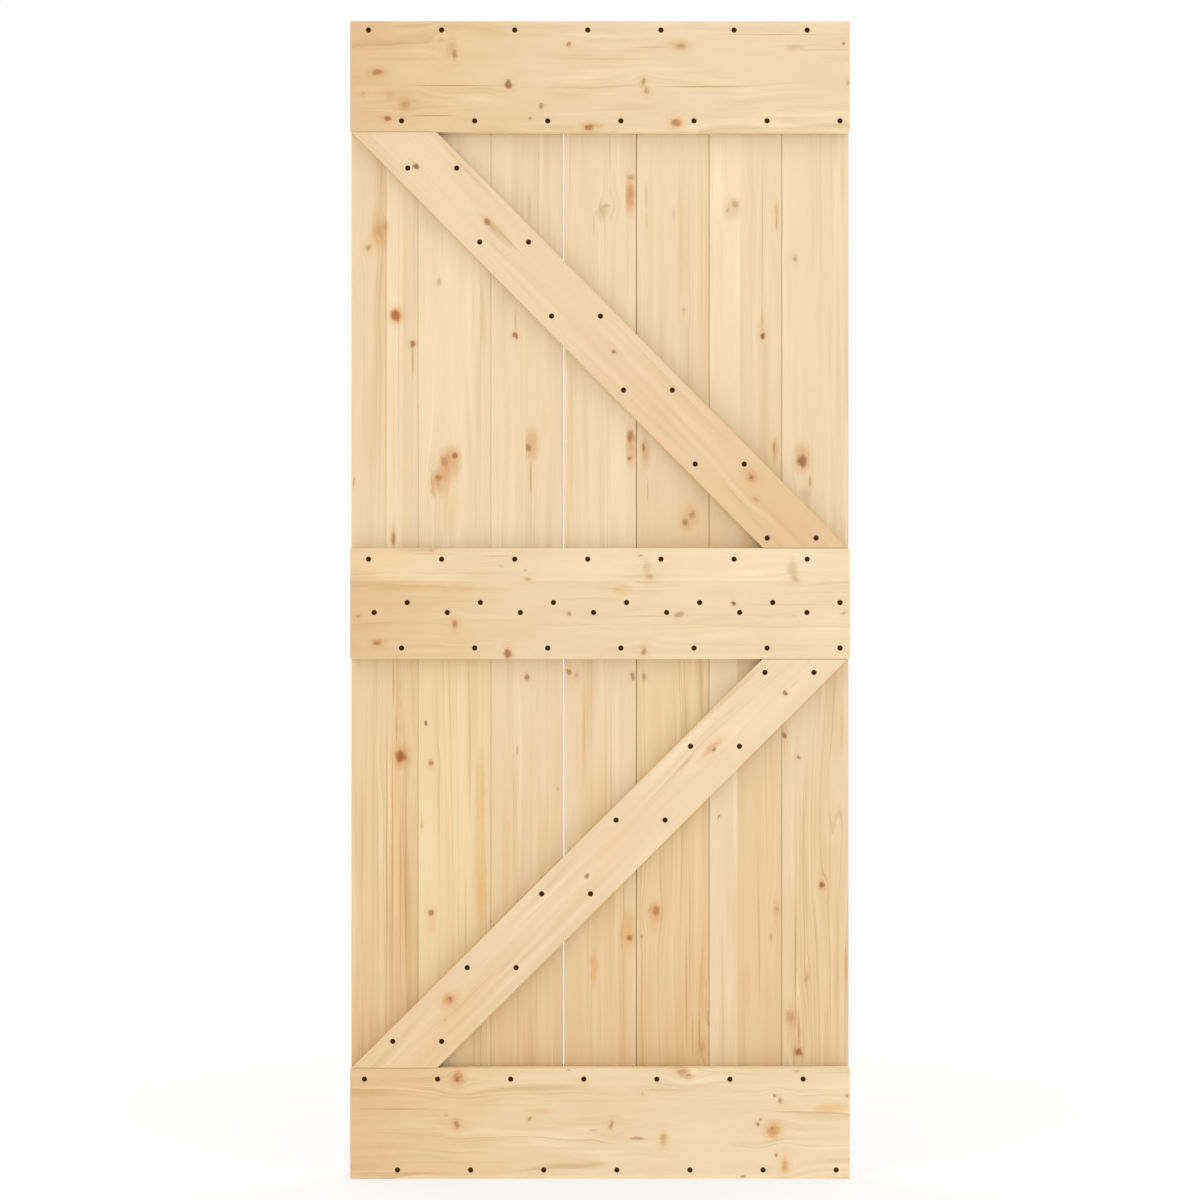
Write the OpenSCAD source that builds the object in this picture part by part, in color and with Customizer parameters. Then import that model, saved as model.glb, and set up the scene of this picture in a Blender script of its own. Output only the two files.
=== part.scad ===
// Plank barn door leaf: upright boards in an upper and a lower set,
// held together on the front by three rails and two braces with countersunk screws.
// The origin is under the middle of the leaf. The front faces -Y and +Z is up.

/* [Leaf] */
// Width of the leaf
door_w = 900; // [860:1:1000]
// Height of the leaf
door_h = 2085; // [1950:1:2300]

/* [Boards] */
// Thickness of the upright boards
board_t = 17; // [15:0.5:25]
// Width that a full board covers, from seam to seam
board_w = 131.6; // [125:0.1:138]
// Number of boards side by side
board_count = 7; // [6:1:7]
// Gap between two boards at a seam
seam_gap = 0.3; // [0.1:0.05:0.8]
// Seam, counted from the left, that is a plain open joint between two glued sheets
open_seam = 3; // [1:1:5]
// Gap at the open seam
open_gap = 2; // [0.5:0.1:3]
// Gap at the first seam right of the open one, where the boards have shrunk
shrunk_gap = 1.2; // [0.3:0.1:1.6]
// Bevel along the edges of the boards
board_bevel = 0.6; // [0.3:0.1:1.5]
// Thickness of a tongue
tongue_t = 5; // [4:0.1:6]
// Length of a tongue
tongue_l = 5; // [3:0.5:8]
// Clearance around a tongue in its groove
tongue_clearance = 0.15; // [0.05:0.05:0.4]
// Gap between the upper and the lower boards where they meet end to end
butt_gap = 0.4; // [0.1:0.1:0.8]

/* [Rails] */
// Height of a rail
rail_h = 200; // [160:1:240]
// Thickness of the rails and braces
rail_t = 18; // [16:0.5:25]
// Height of the lower edge of the middle rail
middle_rail_z = 936; // [800:1:1050]
// Height of the joint of the boards above that edge
board_joint_up = 93; // [70:1:130]
// Radius of the eased edges of the rails and braces
edge_round = 2; // [1:0.5:4]

/* [Braces] */
// Width of a brace, across its grain
brace_w = 108; // [98:1:125]
// Distance of the tips of a brace from the sides of the leaf
brace_inset = 4; // [0:1:12]
// Gap between the end of a brace and the rail
brace_gap = 0.4; // [0.1:0.1:0.9]

/* [Screws] */
// Diameter of a screw head
head_d = 9.5; // [8.5:0.1:11]
// Diameter of a screw shank
shank_d = 4.5; // [3.5:0.1:5.5]
// Length of a screw, with its head
screw_l = 30; // [26:0.5:31]
// Length of the point of a screw
point_l = 4; // [2:0.5:6]
// Height of the straight rim of a screw head
head_rim = 0.3; // [0.1:0.1:0.6]
// Depth of a screw head below the face of the wood
head_sink = 0.4; // [0.1:0.1:0.8]
// Length of the slots of the cross recess
recess_l = 5; // [3:0.1:5.4]
// Width of the slots of the cross recess
recess_w = 1.2; // [0.6:0.1:1.4]
// Depth of the cross recess
recess_h = 1.8; // [1:0.1:2.2]
// Clearance around a screw in its hole
hole_clearance = 0.1; // [0.05:0.05:0.3]

/* [Screw rows on the rails] */
// Distance between the two screws of a board, along a rail
pair_span = 59.5; // [40:0.5:75]
// Right screw of a board to its right seam, on the top rail and on the outer rows of the middle rail
outer_inset = 28.2; // [18:0.1:36]
// Right screw of a board to its right seam, on the inner rows of the middle rail
inner_inset = 18; // [12:0.1:30]
// Right screw of a board to its right seam, on the bottom rail
bottom_inset = 35.5; // [18:0.1:40]
// Least distance from a screw to the side of the leaf
side_inset = 18; // [12:0.5:25]
// Distance from the first and the last row to the top and the foot of the leaf
end_row_inset = 16.5; // [12:0.5:30]
// Distance from the other rows to the edge of their rail
rail_row_inset = 20; // [12:0.5:30]
// Distance from the inner rows of the middle rail to the joint of the boards
joint_row_inset = 9; // [7:0.5:20]

/* [Screw pairs on the braces] */
// Distance between the two screws of a pair
brace_span = 88; // [60:0.5:100]
// Number of pairs on a brace
brace_pairs = 6; // [3:1:8]
// Middle of the top pair of the upper brace, in from the left side of the leaf
upper_top_in = 148; // [130:1:160]
// Drop of that pair below the top rail
upper_top_drop = 65; // [50:1:80]
// Middle of the foot pair of the upper brace, in from the right side of the leaf
upper_foot_in = 105; // [95:1:125]
// Rise of that pair above the middle rail
upper_foot_rise = 18; // [12:1:40]
// Middle of the top pair of the lower brace, in from the right side of the leaf
lower_top_in = 109; // [95:1:125]
// Drop of that pair below the middle rail
lower_top_drop = 24; // [12:1:40]
// Middle of the foot pair of the lower brace, in from the left side of the leaf
lower_foot_in = 121; // [105:1:140]
// Rise of that pair above the bottom rail
lower_foot_rise = 48; // [35:1:65]

/* [Hidden] */
$fn = 32;
// Straight steps in the arc of an eased edge
edge_steps = 4;
// Spare length of a cutter past the face that it cuts
spare = 1;

board_names = [for (half = ["upper", "lower"]) for (i = [1:board_count]) str(half, "_board_", i)];
rail_names = ["top_rail", "middle_rail", "bottom_rail"];
brace_names = ["upper_brace", "lower_brace"];
screw_names = [for (carrier = concat(rail_names, brace_names)) str(carrier, "_screws")];

half_w = door_w / 2;
front_y = -(board_t + rail_t) / 2;
back_y = -front_y;
joint_y = front_y + rail_t;
tongue_y = (joint_y + back_y) / 2;
groove_l = tongue_l + tongue_clearance;
groove_t = tongue_t + 2 * tongue_clearance;

top_rail_z = door_h - rail_h;
middle_rail_top = middle_rail_z + rail_h;
board_joint_z = middle_rail_z + board_joint_up;

wood_tone = "#ecd0a6";
rail_tone = "#e9c69a";
brace_tone = "#efd4aa";
screw_tone = "#2b211b";

// Seams lie on an even grid about the middle, and the outer boards take what is left
function seam_x(k) = (k - board_count / 2) * board_w;
// Right of the open seam the gaps narrow from one seam to the next
function seam_width(k) =
    k == open_seam ? open_gap : k > open_seam ? shrunk_gap / sqrt(k - open_seam) : seam_gap;
function board_left(i) = i == 1 ? -half_w : seam_x(i - 1) + seam_width(i - 1) / 2;
function board_right(i) = i == board_count ? half_w : seam_x(i) - seam_width(i) / 2;
function has_groove(i) = i > 1 && i - 1 != open_seam;
function has_tongue(i) = i < board_count && i != open_seam;

// Screws lie a set distance left of each board's right seam, and no nearer to a side than allowed
function keep_in(x) = max(side_inset - half_w, min(half_w - side_inset, x));
function row(z, inset) = [for (i = [1:board_count]) [keep_in(seam_x(i) - inset), z]];
function joint_row(z, inset) = [for (i = [1:board_count]) [keep_in(min(seam_x(i), half_w) - inset), z]];

top_rail_holes = concat(
    row(door_h - end_row_inset, outer_inset + pair_span),
    row(top_rail_z + rail_row_inset, outer_inset)
);
middle_rail_holes = concat(
    row(middle_rail_top - rail_row_inset, outer_inset + pair_span),
    joint_row(board_joint_z + joint_row_inset, inner_inset),
    joint_row(board_joint_z - joint_row_inset, inner_inset + pair_span),
    row(middle_rail_z + rail_row_inset, outer_inset)
);
bottom_rail_holes = concat(
    row(rail_h - rail_row_inset, bottom_inset + pair_span),
    row(end_row_inset, bottom_inset)
);

// Pairs are spread evenly along a straight line from the top pair to the foot pair
function pairs(top, foot) = [
    for (k = [0:brace_pairs - 1])
    for (side = [-1, 1])
    top + (foot - top) * k / (brace_pairs - 1) + [side * brace_span / 2, 0]
];
upper_brace_holes = pairs(
    [upper_top_in - half_w, top_rail_z - upper_top_drop],
    [half_w - upper_foot_in, middle_rail_top + upper_foot_rise]
);
lower_brace_holes = pairs(
    [half_w - lower_top_in, middle_rail_z - lower_top_drop],
    [lower_foot_in - half_w, rail_h + lower_foot_rise]
);
all_holes = concat(top_rail_holes, middle_rail_holes, bottom_rail_holes, upper_brace_holes, lower_brace_holes);

function within(value, limits) = value > limits[0] && value < limits[1];

// Length of the level end cut of a brace of width w that fills an opening of width l and height h
function end_cut(w, l, h) =
    (sqrt(pow(w, 4) * l * l + (h * h - w * w) * w * w * (l * l + h * h)) - w * w * l) / (h * h - w * w);

// Rectangle from the origin with its corners eased by arcs
function eased_outline(w, h, r) = [
    for (quarter = [0:3])
    for (k = [0:edge_steps])
    let (angle = 90 * (quarter + k / edge_steps))
    let (corner_x = quarter == 0 || quarter == 3 ? w - r : r)
    let (corner_y = quarter < 2 ? h - r : r)
    [corner_x + r * cos(angle), corner_y + r * sin(angle)]
];

// Rectangle between two corners with its corners bevelled
function bevelled_outline(low, high, b) = [
    [low.x + b, low.y],
    [high.x - b, low.y],
    [high.x, low.y + b],
    [high.x, high.y - b],
    [high.x - b, high.y],
    [low.x + b, high.y],
    [low.x, high.y - b],
    [low.x, low.y + b]
];

// Extrudes an outline drawn in Y and Z along X
module along_x(length) {
    rotate([90, 0, 90])
        linear_extrude(length)
            children();
}

// Extrudes an outline drawn in X and Z along Y, starting at y = 0
module along_y(length) {
    translate([0, length, 0])
        rotate([90, 0, 0])
            linear_extrude(length)
                children();
}

// Turned outline of a screw, or of its hole when it is given a clearance
module screw_form(clear, above) {
    head_r = head_d / 2 + clear;
    shank_r = shank_d / 2 + clear;
    cone_end = head_rim + (head_d - shank_d) / 2;
    rotate([-90, 0, 0])
        rotate_extrude()
            polygon([
                [0, -above],
                [head_r, -above],
                [head_r, head_rim],
                [shank_r, cone_end],
                [shank_r, screw_l - point_l],
                [0, screw_l + clear]
            ]);
}

module screw_hole() {
    screw_form(hole_clearance, head_sink + spare);
}

module screw() {
    difference() {
        screw_form(0, 0);
        for (size = [[recess_l, recess_w], [recess_w, recess_l]])
            translate([-size.x / 2, -spare, -size.y / 2])
                cube([size.x, recess_h + spare, size.y]);
    }
}

// Puts its child at each place, just below the front face
module at_holes(places) {
    for (place = places)
        translate([place.x, front_y + head_sink, place.y])
            children();
}

module screws(places) {
    color(screw_tone)
        at_holes(places)
            screw();
}

// One upright board with its groove on the left and its tongue on the right
module board(i, z_low, z_high) {
    left = board_left(i);
    right = board_right(i);
    tongue_tip = right + tongue_l;
    near_x = [left - head_d, tongue_tip + head_d];
    near_z = [z_low - head_d, z_high + head_d];
    places = [for (p = all_holes) if (within(p.x, near_x) && within(p.y, near_z)) p];
    color(wood_tone)
        difference() {
            intersection() {
                translate([0, 0, z_low])
                    linear_extrude(z_high - z_low) {
                        difference() {
                            polygon(bevelled_outline([left, joint_y], [right, back_y], board_bevel));
                            if (has_groove(i))
                                translate([left - spare, tongue_y - groove_t / 2])
                                    square([groove_l + spare, groove_t]);
                        }
                        if (has_tongue(i))
                            translate([right - spare, tongue_y - tongue_t / 2])
                                square([tongue_tip - right + spare, tongue_t]);
                    }
                translate([left - spare, 0, 0])
                    along_x(tongue_tip - left + 2 * spare)
                        polygon(bevelled_outline([joint_y, z_low], [back_y, z_high], board_bevel));
            }
            at_holes(places)
                screw_hole();
        }
}

module upper_board(i) {
    board(i, board_joint_z + butt_gap / 2, door_h);
}

module lower_board(i) {
    board(i, 0, board_joint_z - butt_gap / 2);
}

// A level rail with every edge eased
module rail(z_low, places) {
    color(rail_tone)
        difference() {
            translate([-half_w, front_y, z_low])
                intersection() {
                    along_x(door_w)
                        polygon(eased_outline(rail_t, rail_h, edge_round));
                    along_y(rail_t)
                        polygon(eased_outline(door_w, rail_h, edge_round));
                    linear_extrude(rail_h)
                        polygon(eased_outline(door_w, rail_t, edge_round));
                }
            at_holes(places)
                screw_hole();
        }
}

module top_rail() {
    rail(top_rail_z, top_rail_holes);
}

module middle_rail() {
    rail(middle_rail_z, middle_rail_holes);
}

module bottom_rail() {
    rail(0, bottom_rail_holes);
}

// A sloping brace between two rails; side is 1 if it falls to the right and -1 if it falls to the left
module brace(z_low, z_high, side, places) {
    span = door_w - 2 * brace_inset;
    rise = z_high - z_low;
    run = span - end_cut(brace_w, span, rise);
    slope = atan2(rise, run);
    reach = span + rise;
    color(brace_tone)
        difference() {
            intersection() {
                translate([0, front_y, (z_low + z_high) / 2])
                    rotate([0, side * slope, 0])
                        translate([-reach / 2, 0, -brace_w / 2])
                            along_x(reach)
                                polygon(eased_outline(rail_t, brace_w, edge_round));
                translate([-half_w, front_y - spare, z_low + brace_gap])
                    cube([door_w, rail_t + 2 * spare, rise - 2 * brace_gap]);
            }
            at_holes(places)
                screw_hole();
        }
}

module upper_brace() {
    brace(middle_rail_top, top_rail_z, 1, upper_brace_holes);
}

module lower_brace() {
    brace(rail_h, middle_rail_z, -1, lower_brace_holes);
}

module top_rail_screws() {
    screws(top_rail_holes);
}

module middle_rail_screws() {
    screws(middle_rail_holes);
}

module bottom_rail_screws() {
    screws(bottom_rail_holes);
}

module upper_brace_screws() {
    screws(upper_brace_holes);
}

module lower_brace_screws() {
    screws(lower_brace_holes);
}

for (i = [1:board_count]) {
    upper_board(i);
    lower_board(i);
}
top_rail();
middle_rail();
bottom_rail();
upper_brace();
lower_brace();
top_rail_screws();
middle_rail_screws();
bottom_rail_screws();
upper_brace_screws();
lower_brace_screws();
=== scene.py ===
import math
import bpy
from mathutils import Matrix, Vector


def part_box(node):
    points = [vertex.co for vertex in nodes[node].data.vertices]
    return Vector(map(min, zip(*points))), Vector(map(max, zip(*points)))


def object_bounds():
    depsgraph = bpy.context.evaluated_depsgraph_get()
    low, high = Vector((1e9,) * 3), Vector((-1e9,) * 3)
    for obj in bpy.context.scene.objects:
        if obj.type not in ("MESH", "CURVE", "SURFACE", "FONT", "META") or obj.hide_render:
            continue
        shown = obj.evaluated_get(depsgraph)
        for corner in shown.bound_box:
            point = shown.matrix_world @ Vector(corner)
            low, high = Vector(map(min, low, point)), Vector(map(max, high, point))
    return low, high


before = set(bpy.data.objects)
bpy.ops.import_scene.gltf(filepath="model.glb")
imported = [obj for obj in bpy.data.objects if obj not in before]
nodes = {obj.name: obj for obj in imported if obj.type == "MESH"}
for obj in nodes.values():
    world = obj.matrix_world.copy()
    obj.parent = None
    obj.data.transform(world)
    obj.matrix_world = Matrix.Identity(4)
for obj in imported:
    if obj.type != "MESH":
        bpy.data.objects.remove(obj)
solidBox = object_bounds()
print("frame loaded:", len(nodes), "nodes")

mmPerMetre = 1000.0

# straight-on camera, level with the middle of the leaf
cameraLook = {
    "distance": 3.4,        # to the front of the rails
    "frameWidth": 2.16,     # seen there, across the picture
    "sensor": 36.0,
    "farthest": 100.0,
    "tilt": 90.0,           # level
}


def makeCamera(look):
    low, high = solidBox
    place = ((low[0] + high[0]) / 2, low[1] - look["distance"], (low[2] + high[2]) / 2)
    bpy.ops.object.camera_add(location=place, rotation=(math.radians(look["tilt"]), 0.0, 0.0))
    camera = bpy.context.active_object
    camera.name = "photo_camera"
    camera.data.sensor_width = look["sensor"]
    camera.data.lens = look["sensor"] * look["distance"] / look["frameWidth"]
    camera.data.clip_end = look["farthest"]
    bpy.context.scene.camera = camera


makeCamera(cameraLook)
bpy.context.scene.view_settings.view_transform = "Standard"
print("camera made")

# edges of the leaf in the photograph, in its pixels: places on the wood are read there
photoEdges = {
    "left": 349.0,
    "right": 851.2,
    "top": 21.8,
    "bottom": 1178.0,
}
pixelSize = mmPerMetre * (solidBox[1][0] - solidBox[0][0]) / (photoEdges["right"] - photoEdges["left"])


# millimetres on a face that lies so many metres behind the front of the rails
def onFace(across, down, behind):
    low, high = solidBox
    farther = 1.0 + behind / cameraLook["distance"]
    rightness = (across - photoEdges["left"]) / (photoEdges["right"] - photoEdges["left"]) - 0.5
    height = (photoEdges["bottom"] - down) / (photoEdges["bottom"] - photoEdges["top"]) - 0.5
    x = (low[0] + high[0]) / 2 + rightness * (high[0] - low[0]) * farther
    z = (low[2] + high[2]) / 2 + height * (high[2] - low[2]) * farther
    return x * mmPerMetre, z * mmPerMetre


# the curve of a screen: straight for the darkest levels, then a power
screenCurve = {
    "levels": 255.0,
    "straightTo": 0.04045,
    "straightSlope": 12.92,
    "lift": 0.055,
    "power": 2.4,
}


# a colour as it looks on screen, 0 to 255, turned to scene light
def screenColour(red, green, blue):
    curve = screenCurve
    parts = []
    for level in (red, green, blue):
        part = level / curve["levels"]
        if part <= curve["straightTo"]:
            parts.append(part / curve["straightSlope"])
        else:
            parts.append(((part + curve["lift"]) / (1.0 + curve["lift"])) ** curve["power"])
    return (parts[0], parts[1], parts[2], 1.0)


# how nodes lie in the node editor
nodeLayout = {
    "columns": 12,
    "stepAcross": 190,
    "stepDown": 260,
}

# places of the sockets of a mix node, which has one set for numbers and one for colours
mixSockets = {
    "factor": 0,
    "firstNumber": 2,
    "secondNumber": 3,
    "numberOut": 0,
    "firstColour": 6,
    "secondColour": 7,
    "colourOut": 2,
}

noiseMiddle = 0.5    # a noise runs from 0 to 1
acrossGrain = 2      # which part of a place in the wood lies across the grain


# small helpers, so that a chain of shader nodes reads like a sum
def addNode(tree, kind):
    node = tree.nodes.new(kind)
    row, column = divmod(len(tree.nodes), nodeLayout["columns"])
    node.location = (column * nodeLayout["stepAcross"], -row * nodeLayout["stepDown"])
    return node


def feed(tree, value, socket):
    if isinstance(value, bpy.types.NodeSocket):
        tree.links.new(value, socket)
    else:
        socket.default_value = value


def sums(tree, operation, *values):
    node = addNode(tree, "ShaderNodeMath")
    node.operation = operation
    for place, value in enumerate(values):
        feed(tree, value, node.inputs[place])
    return node.outputs[0]


def vectors(tree, operation, *values):
    node = addNode(tree, "ShaderNodeVectorMath")
    node.operation = operation
    for place, value in enumerate(values):
        feed(tree, value, node.inputs[place])
    return node.outputs["Value"] if operation in ("LENGTH", "DOT_PRODUCT") else node.outputs["Vector"]


def scaled(tree, vector, amount):
    node = addNode(tree, "ShaderNodeVectorMath")
    node.operation = "SCALE"
    feed(tree, vector, node.inputs[0])
    feed(tree, amount, node.inputs["Scale"])
    return node.outputs["Vector"]


def split(tree, vector):
    node = addNode(tree, "ShaderNodeSeparateXYZ")
    feed(tree, vector, node.inputs[0])
    return node.outputs


def join(tree, *parts):
    node = addNode(tree, "ShaderNodeCombineXYZ")
    for place, part in enumerate(parts):
        feed(tree, part, node.inputs[place])
    return node.outputs[0]


def noise(tree, vector, detail):
    node = addNode(tree, "ShaderNodeTexNoise")
    feed(tree, vector, node.inputs["Vector"])
    node.inputs["Scale"].default_value = 1.0
    node.inputs["Detail"].default_value = detail
    return node.outputs


def soft(tree, value, start, end, low, high):
    node = addNode(tree, "ShaderNodeMapRange")
    node.interpolation_type = "SMOOTHSTEP"
    for place, part in enumerate((value, start, end, low, high)):
        feed(tree, part, node.inputs[place])
    return node.outputs[0]


def blendColour(tree, kind, factor, first, second):
    node = addNode(tree, "ShaderNodeMix")
    node.data_type = "RGBA"
    node.blend_type = kind
    feed(tree, factor, node.inputs[mixSockets["factor"]])
    feed(tree, first, node.inputs[mixSockets["firstColour"]])
    feed(tree, second, node.inputs[mixSockets["secondColour"]])
    return node.outputs[mixSockets["colourOut"]]


def blendNumber(tree, factor, first, second):
    node = addNode(tree, "ShaderNodeMix")
    feed(tree, factor, node.inputs[mixSockets["factor"]])
    feed(tree, first, node.inputs[mixSockets["firstNumber"]])
    feed(tree, second, node.inputs[mixSockets["secondNumber"]])
    return node.outputs[mixSockets["numberOut"]]


def ramp(tree, value, stops):
    node = addNode(tree, "ShaderNodeValToRGB")
    points = node.color_ramp.elements
    while len(points) < len(stops):
        points.new(0.5)
    for point, (position, level) in zip(points, stops):
        point.position = position
        point.color = (level, level, level, 1.0)
    feed(tree, value, node.inputs[0])
    return node.outputs[0]


def newGroup(title, inputs, outputs):
    tree = bpy.data.node_groups.new(title, "ShaderNodeTree")
    for name, kind in inputs:
        tree.interface.new_socket(name=name, in_out="INPUT", socket_type="NodeSocket" + kind)
    for name, kind in outputs:
        tree.interface.new_socket(name=name, in_out="OUTPUT", socket_type="NodeSocket" + kind)
    return tree, addNode(tree, "NodeGroupInput").outputs, addNode(tree, "NodeGroupOutput").inputs


def useGroup(tree, group, values):
    node = addNode(tree, "ShaderNodeGroup")
    node.node_tree = group
    for name, value in values.items():
        feed(tree, value, node.inputs[name])
    return node.outputs


# a knot: a dark heart, a warm halo, and grain that parts around it
knotLook = {
    "heartStart": 0.6,    # size of the dark heart in a pale knot
    "heartGrow": 0.6,     # how much larger it is in a dark one
    "heartFull": 0.4,
    "bodyRim": 1.2,
    "bodyFull": 0.75,
    "bodyShare": 0.6,
    "haloRim": 2.6,
    "haloFull": 0.7,
    "eyeLong": 0.24,      # how far the grain is parted, along and across it
    "eyeBroad": 0.42,
    "eyeDepth": 0.78,
}


def makeKnotGroup(look):
    tree, given, result = newGroup(
        "pineKnot",
        [("Place", "Vector"), ("Calm", "Vector"), ("Strip", "Float"), ("Push", "Float"), ("Heart", "Float"),
         ("Halo", "Float"), ("Near", "Float"), ("Centre", "Vector"), ("Shape", "Vector"), ("Dark", "Float"),
         ("Glow", "Float"), ("Own", "Float"), ("Reach", "Float")],
        [("Push", "Float"), ("Heart", "Float"), ("Halo", "Float"), ("Near", "Float")])
    away = vectors(tree, "SUBTRACT", given["Place"], given["Centre"])
    far = vectors(tree, "LENGTH", vectors(tree, "MULTIPLY", away, given["Shape"]))
    here = sums(tree, "COMPARE", given["Strip"], given["Own"], given["Reach"])
    rim = sums(tree, "MULTIPLY_ADD", given["Dark"], look["heartGrow"], look["heartStart"])
    heart = soft(tree, far, rim, sums(tree, "MULTIPLY", rim, look["heartFull"]), 0.0, given["Dark"])
    body = soft(tree, far, look["bodyRim"], look["bodyFull"], 0.0, look["bodyShare"])
    halo = soft(tree, far, look["haloRim"], look["haloFull"], 0.0, 1.0 - look["bodyShare"])
    halo = sums(tree, "MULTIPLY", sums(tree, "ADD", halo, body), given["Glow"])
    calm = vectors(tree, "SUBTRACT", given["Calm"], given["Centre"])
    eye = vectors(tree, "MULTIPLY", calm, given["Shape"])
    eye = vectors(tree, "MULTIPLY", eye, (look["eyeLong"], 0.0, look["eyeBroad"]))
    bell = sums(tree, "EXPONENT", sums(tree, "MULTIPLY", vectors(tree, "DOT_PRODUCT", eye, eye), -1.0))
    parted = sums(tree, "MULTIPLY", sums(tree, "MULTIPLY", bell, here), -look["eyeDepth"])
    across = vectors(tree, "DOT_PRODUCT", calm, (0.0, 0.0, 1.0))
    feed(tree, sums(tree, "MULTIPLY_ADD", across, parted, given["Push"]), result["Push"])
    feed(tree, sums(tree, "MAXIMUM", given["Heart"], sums(tree, "MULTIPLY", heart, here)), result["Heart"])
    feed(tree, sums(tree, "MAXIMUM", given["Halo"], sums(tree, "MULTIPLY", halo, here)), result["Halo"])
    feed(tree, sums(tree, "MINIMUM", given["Near"], far), result["Near"])
    return tree


# a stain: a long soft patch of resin, pink wood or sapwood that tints what is under it; along the bottom
# rail's lower edge two such strips are painted highlight and painted shade instead
stainAndPaintedLightLook = {
    "rim": 1.05,
    "full": 0.25,
}


def makeStainAndPaintedLightGroup(look):
    tree, given, result = newGroup(
        "pineStainAndPaintedLight",
        [("Place", "Vector"), ("Strip", "Float"), ("Tint", "Color"), ("Centre", "Vector"),
         ("Shape", "Vector"), ("Colour", "Color"), ("Strength", "Float"), ("Own", "Float"),
         ("Reach", "Float")],
        [("Tint", "Color")])
    away = vectors(tree, "SUBTRACT", given["Place"], given["Centre"])
    far = vectors(tree, "LENGTH", vectors(tree, "MULTIPLY", away, given["Shape"]))
    here = sums(tree, "COMPARE", given["Strip"], given["Own"], given["Reach"])
    amount = soft(tree, far, look["rim"], look["full"], 0.0, given["Strength"])
    amount = sums(tree, "MULTIPLY", amount, here)
    feed(tree, blendColour(tree, "MULTIPLY", amount, given["Tint"], given["Colour"]), result["Tint"])
    return tree


# the wood itself: growth rings about the pith, slow streaks, fine fibres and end grain; sizes in mm
pineLook = {
    "pale": screenColour(250, 229, 190),
    "warm": screenColour(228, 190, 141),
    "lineTint": (0.86, 0.80, 0.70, 1.0),
    "haloTint": (0.88, 0.65, 0.47, 1.0),
    "heartBrown": screenColour(150, 106, 64),    # a knot with little glow, then its dark rings
    "heartDark": screenColour(84, 56, 32),
    "heartRed": screenColour(190, 104, 52),      # a glowing knot, then its dark rings
    "heartDeep": screenColour(116, 56, 26),
    "endTint": (0.86, 0.78, 0.68, 1.0),
    "ringStops": [(0.0, 0.30), (0.10, 0.02), (0.55, 0.10), (0.84, 0.80), (0.93, 1.0), (1.0, 0.30)],
    "heartStops": [(0.0, 0.15), (0.45, 0.30), (0.80, 1.0), (1.0, 0.15)],
    "stripStep": (313.0, 0.0, 57.0),    # every glued strip is cut from another log
    "yearGroups": 0.4,    # how the growth rings bunch up and spread out
    "yearShift": 2.4,
    "yearFade": 2.0,      # most rings are faint and a few are plain
    "lineDepth": 1.25,
    "nearKnots": 0.8,     # rings show more around a knot
    "slowDetail": 1.0,    # detail of the broad noises, then of the finer ones
    "fineDetail": 2.0,
    "wanderSize": (1 / 380, 1 / 300, 1 / 120),
    "wobbleSize": (1 / 60, 1 / 14, 1 / 14),
    "wobbleDepth": 3.0,
    "streakSize": (1 / 420, 1 / 40, 1 / 13),
    "streakDetail": 4.0,
    "streakShade": (0.20, 0.29, 0.42),    # how much a streak takes from red, green and blue
    "bunchSize": (1 / 520, 1 / 90, 1 / 42),    # streaks and rings come in bunches, with plain wood between
    "bunchRange": (0.40, 0.64),
    "bunchDepth": (0.15, 2.0),
    "driftSize": (1 / 360, 1 / 120, 1 / 52),
    "driftDepth": 0.54,
    "fibreSize": (1 / 42, 1 / 0.9, 1 / 0.6),
    "fibreDepth": 0.10,
    "heartRings": 3.2,
    "speckSize": (1 / 9, 1 / 9, 1 / 5),
    "speckDepth": 1.6,
    "rough": (0.52, 0.68),
    "roughRange": (0.1, 0.9),
    "roughMiddle": 0.5,
    "roughFibre": 0.5,
    "roughLine": 0.25,    # late wood is a little smoother
    "streakRelief": 0.5,
}


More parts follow.
